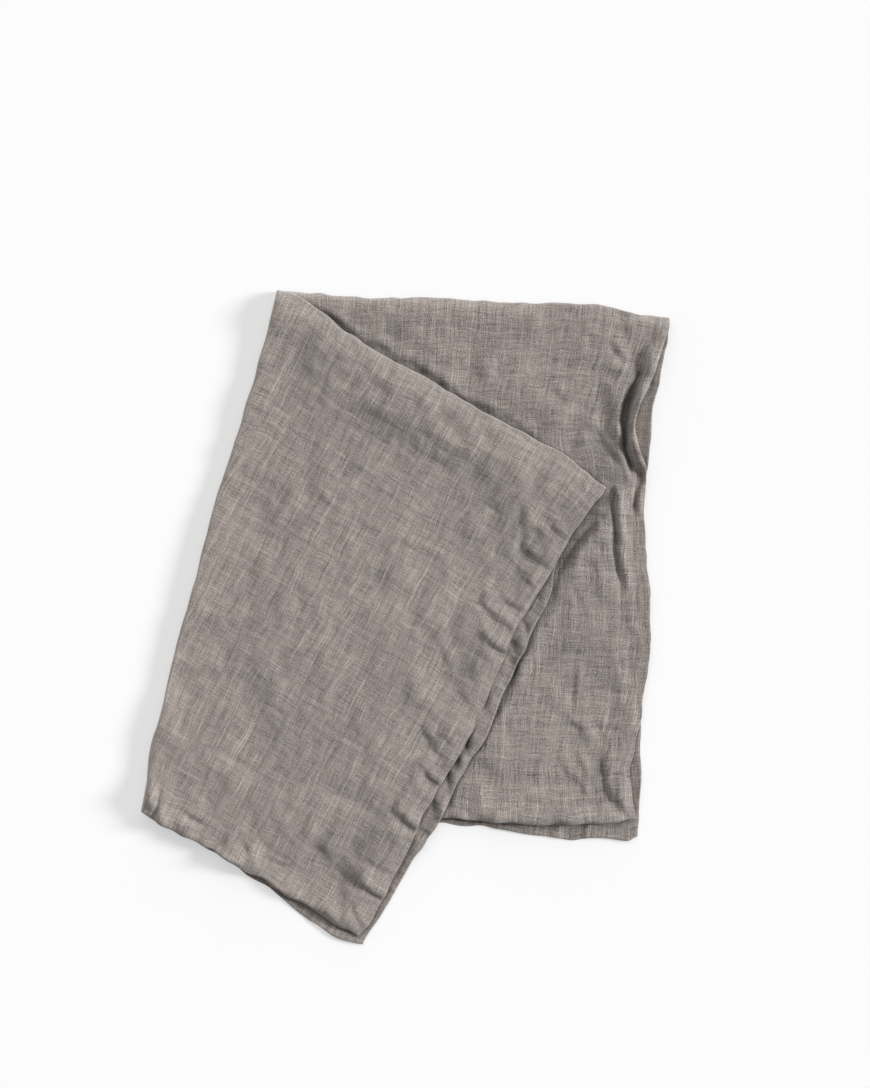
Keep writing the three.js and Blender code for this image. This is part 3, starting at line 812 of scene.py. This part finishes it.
def towel_object():
    """The towel's mesh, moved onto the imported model, and how far it was moved, in metres."""
    middle, maps, weights = sheet_middle()
    right, wrong = cloth_sides(middle, maps["hems"].min(axis=-1))
    vertices = np.concatenate([right.reshape(-1, 3), wrong.reshape(-1, 3)])
    low, high = vertices.min(axis=0), vertices.max(axis=0)
    cad_low, cad_high = (np.array(corner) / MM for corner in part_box("towel"))
    shift = (cad_low + cad_high - low - high) / 2
    shift[2] = cad_low[2] - low[2]

    # Points that no face uses are left out.
    faces = towel_faces(fine_parts(middle, maps, weights, right, wrong), middle.shape[:2])
    kept, corners = np.unique(np.concatenate(faces), return_inverse=True)
    starts = np.cumsum([0] + [len(face) for face in faces])
    faces = [corners[start:end].tolist() for start, end in zip(starts, starts[1:])]
    mesh = bpy.data.meshes.new("linen_towel")
    mesh.from_pydata(((vertices[kept] + shift) * MM).tolist(), [], faces)
    mesh.shade_smooth()
    for name, values in maps.items():
        layer = mesh.uv_layers.new(name=name)
        flat = values.reshape(-1, 2)
        layer.data.foreach_set("uv", (flat[kept % len(flat)][corners] * MM).ravel())
    mesh.update()
    towel = bpy.data.objects.new("linen_towel", mesh)
    bpy.context.collection.objects.link(towel)
    return towel, shift * MM


# ---------------------------------------------------------------- materials


class Nodes:
    """Short calls for building a material's nodes."""

    def __init__(self, name):
        self.material = bpy.data.materials.new(name)
        self.material.use_nodes = True
        self.tree = self.material.node_tree
        self.tree.nodes.clear()

    def add(self, kind, inputs=None, **settings):
        node = self.tree.nodes.new(kind)
        for name, value in settings.items():
            setattr(node, name, value)
        for socket, value in (inputs or {}).items():
            self.put(node.inputs[socket], value)
        return node

    def put(self, socket, value):
        if isinstance(value, bpy.types.NodeSocket):
            self.tree.links.new(value, socket)
        else:
            socket.default_value = value

    def maths(self, operation, *values):
        inputs = dict(enumerate(values))
        return self.add("ShaderNodeMath", inputs, operation=operation).outputs[0]

    def noise(self, place, scale, detail=2, roughness=0.5):
        inputs = {"Vector": place, "Scale": scale, "Detail": detail, "Roughness": roughness}
        node = self.add("ShaderNodeTexNoise", inputs, noise_dimensions="2D")
        return node.outputs["Fac"]

    def vector(self, x, y):
        return self.add("ShaderNodeCombineXYZ", {0: x, 1: y}).outputs[0]

    def uv_map(self, name):
        """A UV map, and its two coordinates."""
        place = self.add("ShaderNodeUVMap", uv_map=name).outputs[0]
        split = self.add("ShaderNodeSeparateXYZ", {0: place})
        return place, split.outputs[0], split.outputs[1]

    def ramp(self, value, low, high, to_low=0.0, to_high=1.0):
        inputs = {
            "Value": value, "From Min": low, "From Max": high, "To Min": to_low, "To Max": to_high,
        }
        return self.add("ShaderNodeMapRange", inputs, interpolation_type="SMOOTHSTEP").outputs[0]

    def add_patterns(self, start, patterns, amounts, middle=0.0):
        """`start` and, for each pattern named, how far it is above `middle` times its amount."""
        for name, amount in amounts.items():
            change = self.maths("MULTIPLY_ADD", patterns[name], amount, -amount * middle)
            start = self.maths("ADD", start, change)
        return start


# Colour of the linen, in linear light, and the darkest that a thread can be as a share of it.
BASE = (0.277, 0.2405, 0.2188)
DARKEST = 0.1

# Metres from one thread to the next, how far they wander, and how often along them, in a metre.
THREAD = 0.00068
THREAD_WANDER = 0.0016
WANDER_SCALE = 90
# How often in a metre a thread changes its thickness and tone.
THREAD_SCALE = 60
THREAD_ROUGHNESS = 0.6

# Patterns over the cloth, by how often they change in a metre across and along it: bands of fuller
# threads, slubs, which are thick places in single threads and show from `low` up, and spots.
BANDS = dict(
    warp_band=dict(across=320, along=12),
    weft_band=dict(across=12, along=320),
)
SLUBS = dict(
    warp_slub=dict(across=900, along=36, detail=1, low=0.68, high=0.8),
    weft_slub=dict(across=40, along=900, detail=1, low=0.7, high=0.82),
    long_slub=dict(across=950, along=13, detail=0, low=0.74, high=0.82),
)
SPOTS = dict(
    grain=dict(scale=1100, detail=2, roughness=0.6),
    blotches=dict(scale=230, detail=2, roughness=0.5),
    patches=dict(scale=60, detail=3, roughness=0.6),
    broad=dict(scale=14, detail=2, roughness=0.5),
)

# How much each pattern changes the tone. The threads show more on the rear half of the cloth, which
# is REAR_WIDTH metres wide and blends into the front half over HALF_BLEND either way.
THREAD_TONES = dict(warp=0.9, weft=0.8, grain=1.15)
BROAD_TONES = dict(warp_band=0.58, weft_band=0.42, blotches=0.3, patches=0.24, broad=0.2)
RAISED_TONES = dict(warp_slub=0.34, weft_slub=0.28, long_slub=0.4, stitches=-0.06)
CONTRAST = dict(rear=1.5, front=1.12)
REAR_WIDTH = 0.28
HALF_BLEND = 0.01

# How high each pattern stands, in metres.
THREAD_RELIEF = dict(
    weave=0.00006, grain=0.00025, warp=0.0002, weft=0.0002, warp_slub=0.00012, weft_slub=0.0001,
    patches=0.0012, stitches=-0.00015,
)
BUMP_STRENGTH = 0.8

# Stitches hold the hems STITCH_INSET millimetres inside their inner edge. In metres: how far off its
# middle their line fades, half of a stitch and its gap, and how far along a stitch starts.
STITCH_INSET = 1.6
STITCH_EDGE = (0.0002, 0.0006)
STITCH_LENGTH = 0.0015
STITCH_START = (0.0002, 0.0005)

# The cloth is paler beside its folds and edges: partly rubbed, partly painted highlight where they catch
# the light. Within how many metres, and how much.
LEFT_FOLD_WEAR_AND_HIGHLIGHT = ((0.003, 0.6), (0.03, 0.1))
TOP_FOLD_WEAR_AND_HIGHLIGHT = dict(wide=0.007, rear=0.32, front=0.08)
EDGE_WEAR_AND_HIGHLIGHT = (0.001, 0.1)

# Deep in a crease the colour is darkened, as painted shade: how far round it is enclosed, between which
# shares of open room it darkens, and how dark it gets.
CREASE_REACH = 0.011
CREASE_OPEN = (0.3, 0.9)
PAINTED_CREASE_SHADE = 0.22
CREASE_SAMPLES = 12


def weave_patterns(n, cloth, s, t):
    """Patterns of the threads over the cloth, by name."""
    def stretched(across, along, detail=2):
        place = n.vector(n.maths("MULTIPLY", s, across), n.maths("MULTIPLY", t, along))
        return n.noise(place, 1.0, detail)

    def thread_number(value, place):
        """Threads wander a little, so that the weave is not a perfect grid."""
        wander = n.noise(place, WANDER_SCALE)
        wander = n.maths("MULTIPLY_ADD", wander, THREAD_WANDER, -THREAD_WANDER / 2)
        return n.maths("DIVIDE", n.maths("ADD", value, wander), THREAD)

    def over_and_under(number):
        return n.maths("SINE", n.maths("MULTIPLY", number, math.pi))

    warp_at = thread_number(s, cloth)
    weft_at = thread_number(t, n.vector(t, s))
    along_warp = n.vector(warp_at, n.maths("MULTIPLY", t, THREAD_SCALE))
    along_weft = n.vector(n.maths("MULTIPLY", s, THREAD_SCALE), weft_at)
    patterns = dict(
        warp=n.noise(along_warp, 1.0, roughness=THREAD_ROUGHNESS),
        weft=n.noise(along_weft, 1.0, roughness=THREAD_ROUGHNESS),
        weave=n.maths("MULTIPLY", over_and_under(warp_at), over_and_under(weft_at)),
    )
    for name, band in BANDS.items():
        patterns[name] = stretched(**band)
    for name, slub in SLUBS.items():
        fullness = stretched(slub["across"], slub["along"], slub["detail"])
        patterns[name] = n.ramp(fullness, slub["low"], slub["high"])
    for name, spots in SPOTS.items():
        patterns[name] = n.noise(cloth, **spots)
    return patterns


def stitch_lines(n, from_side, from_end, s, t):
    """1 on the stitches of the hems and 0 elsewhere."""
    stitches = 0.0
    for distance, along in ((from_side, t), (from_end, s)):
        off = n.maths("ABSOLUTE", n.maths("SUBTRACT", distance, (HEM_WIDTH - STITCH_INSET) * MM))
        line = n.ramp(off, *STITCH_EDGE, 1.0, 0.0)
        dash = n.ramp(n.maths("PINGPONG", along, STITCH_LENGTH), *STITCH_START)
        stitches = n.maths("MAXIMUM", stitches, n.maths("MULTIPLY", line, dash))
    return stitches


def linen_material():
    """Plain-woven linen: uneven threads, slubs, washed-out patches, stitched hems, painted highlight and
    shade.
    """
    n = Nodes("washed_linen")
    cloth, s, t = n.uv_map("cloth")
    _, from_side, from_end = n.uv_map("hems")
    _, from_left_fold, from_top_fold = n.uv_map("folds")
    patterns = weave_patterns(n, cloth, s, t)
    patterns["stitches"] = stitch_lines(n, from_side, from_end, s, t)

    half = (REAR_WIDTH - HALF_BLEND, REAR_WIDTH + HALF_BLEND)
    contrast = n.ramp(s, *half, CONTRAST["rear"], CONTRAST["front"])
    tone = n.add_patterns(0.0, patterns, THREAD_TONES, middle=0.5)
    tone = n.maths("MULTIPLY", tone, contrast)
    tone = n.add_patterns(tone, patterns, BROAD_TONES, middle=0.5)
    tone = n.add_patterns(tone, patterns, RAISED_TONES)

    # Paler beside the folds and hem edges, most along the rear top fold: partly wear, partly painted
    # highlight.
    half = (REAR_WIDTH - 3 * HALF_BLEND, REAR_WIDTH - HALF_BLEND)
    top_wear_and_highlight = n.ramp(s, *half, TOP_FOLD_WEAR_AND_HIGHLIGHT["rear"], TOP_FOLD_WEAR_AND_HIGHLIGHT["front"])
    wear_and_highlight = [(from_left_fold, *row) for row in LEFT_FOLD_WEAR_AND_HIGHLIGHT]
    wear_and_highlight += [(from_top_fold, TOP_FOLD_WEAR_AND_HIGHLIGHT["wide"], top_wear_and_highlight)]
    wear_and_highlight += [(from_side, *EDGE_WEAR_AND_HIGHLIGHT), (from_end, *EDGE_WEAR_AND_HIGHLIGHT)]
    for distance, wide, paler in wear_and_highlight:
        tone = n.maths("ADD", tone, n.ramp(distance, 0.0, wide, paler, 0.0))

    value = n.maths("MAXIMUM", n.maths("ADD", tone, 1.0), DARKEST)
    # Painted shade: the colour darkens where the cloth is enclosed, deep in creases.
    room = n.add("ShaderNodeAmbientOcclusion", {"Distance": CREASE_REACH}, samples=CREASE_SAMPLES)
    painted_crease_shade = n.ramp(room.outputs["AO"], *CREASE_OPEN, PAINTED_CREASE_SHADE, 1.0)
    value = n.maths("MULTIPLY", value, painted_crease_shade)
    colour = n.add("ShaderNodeVectorMath", {0: BASE, "Scale": value}, operation="SCALE").outputs[0]

    height = n.add_patterns(0.0, patterns, THREAD_RELIEF)
    bump = n.add("ShaderNodeBump", {"Strength": BUMP_STRENGTH, "Distance": 1.0, "Height": height})
    shader = n.add(
        "ShaderNodeBsdfPrincipled",
        {
            "Base Color": colour,
            "Roughness": 0.92,
            "Specular IOR Level": 0.25,
            "Sheen Weight": 0.4,
            "Sheen Roughness": 0.6,
            "Normal": bump.outputs[0],
        },
    )
    n.add("ShaderNodeOutputMaterial", {0: shader.outputs[0]})
    return n.material


# The table's grey, how much the camera sees it glow besides, half of its width, and how far it lies
# below the towel, in metres.
TABLE_GREY = 0.5
TABLE_GLOW = 0.49
TABLE_HALF = 12.0
TABLE_GAP = 0.0001


def table_material():
    """Plain pale floor, which the camera sees as nearly white except in the towel's shadow."""
    n = Nodes("pale_table")
    diffuse = n.add("ShaderNodeBsdfDiffuse", {"Color": (TABLE_GREY, TABLE_GREY, TABLE_GREY, 1)})
    seen = n.add("ShaderNodeLightPath")
    direct = n.maths("MAXIMUM", seen.outputs["Is Camera Ray"], seen.outputs["Is Glossy Ray"])
    direct = n.maths("MAXIMUM", direct, seen.outputs["Is Transmission Ray"])
    strength = n.maths("MULTIPLY", direct, TABLE_GLOW)
    glow = n.add("ShaderNodeEmission", {"Color": (1, 1, 1, 1), "Strength": strength})
    both = n.add("ShaderNodeAddShader", {0: diffuse.outputs[0], 1: glow.outputs[0]})
    n.add("ShaderNodeOutputMaterial", {0: both.outputs[0]})
    return n.material


# ---------------------------------------------------------------- camera, light and table


# The camera's height, how much of the table it frames, and the middle of that before the towel is
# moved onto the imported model, in metres. SENSOR is in millimetres.
VIEW_DISTANCE = 1.7
VIEW_HEIGHT = 0.7072
VIEW_MIDDLE = (0.0189, 0.0481)
SENSOR = 36

# Soft distant lights: a low window at the right, a broad skylight at the top, and a faint fill from
# the left. Each gives `share` of full brightness on a level surface, and the room gives ROOM_LIGHT.
LIGHTS = [
    dict(name="window", azimuth=8, elevation=29, spread=18, share=0.47),
    dict(name="skylight", azimuth=95, elevation=40, spread=70, share=0.26),
    dict(name="wall", azimuth=185, elevation=34, spread=60, share=0.04),
]
ROOM_LIGHT = 0.20


def add_camera(shift):
    """Straight above, framing VIEW_HEIGHT metres of the table from top to bottom."""
    x, y = Vector(VIEW_MIDDLE) + Vector(shift[:2])
    data = bpy.data.cameras.new("camera")
    data.sensor_fit = "VERTICAL"
    data.sensor_height = SENSOR
    data.lens = SENSOR * VIEW_DISTANCE / VIEW_HEIGHT
    camera = bpy.data.objects.new("camera", data)
    camera.location = (x, y, VIEW_DISTANCE)
    bpy.context.collection.objects.link(camera)
    bpy.context.scene.camera = camera
    bpy.context.scene.view_settings.view_transform = "Standard"


def add_sun(name, azimuth, elevation, spread, share):
    """A soft distant light, with its angles in degrees."""
    azimuth, elevation = math.radians(azimuth), math.radians(elevation)
    direction = Vector((
        math.cos(azimuth) * math.cos(elevation),
        math.sin(azimuth) * math.cos(elevation),
        math.sin(elevation),
    ))
    data = bpy.data.lights.new(name, "SUN")
    data.angle = math.radians(spread)
    data.energy = share * math.pi / math.sin(elevation)
    lamp = bpy.data.objects.new(name, data)
    lamp.rotation_euler = direction.to_track_quat("Z", "Y").to_euler()
    bpy.context.collection.objects.link(lamp)


def add_lights():
    for light in LIGHTS:
        add_sun(**light)
    world = bpy.data.worlds.new("room")
    world.use_nodes = True
    background = world.node_tree.nodes["Background"]
    background.inputs["Color"].default_value = (1, 1, 1, 1)
    background.inputs["Strength"].default_value = ROOM_LIGHT
    bpy.context.scene.world = world


def add_table():
    low = cad_box[0][2] - TABLE_GAP
    mesh = bpy.data.meshes.new("table")
    corners = [(x * TABLE_HALF, y * TABLE_HALF, low) for x, y in ((-1, -1), (1, -1), (1, 1), (-1, 1))]
    mesh.from_pydata(corners, [], [(0, 1, 2, 3)])
    mesh.materials.append(table_material())
    table = bpy.data.objects.new("table", mesh)
    bpy.context.collection.objects.link(table)


towel, towel_shift = towel_object()
towel.data.materials.append(linen_material())
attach(towel, "root")
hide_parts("towel")

add_camera(towel_shift)
add_lights()
add_table()
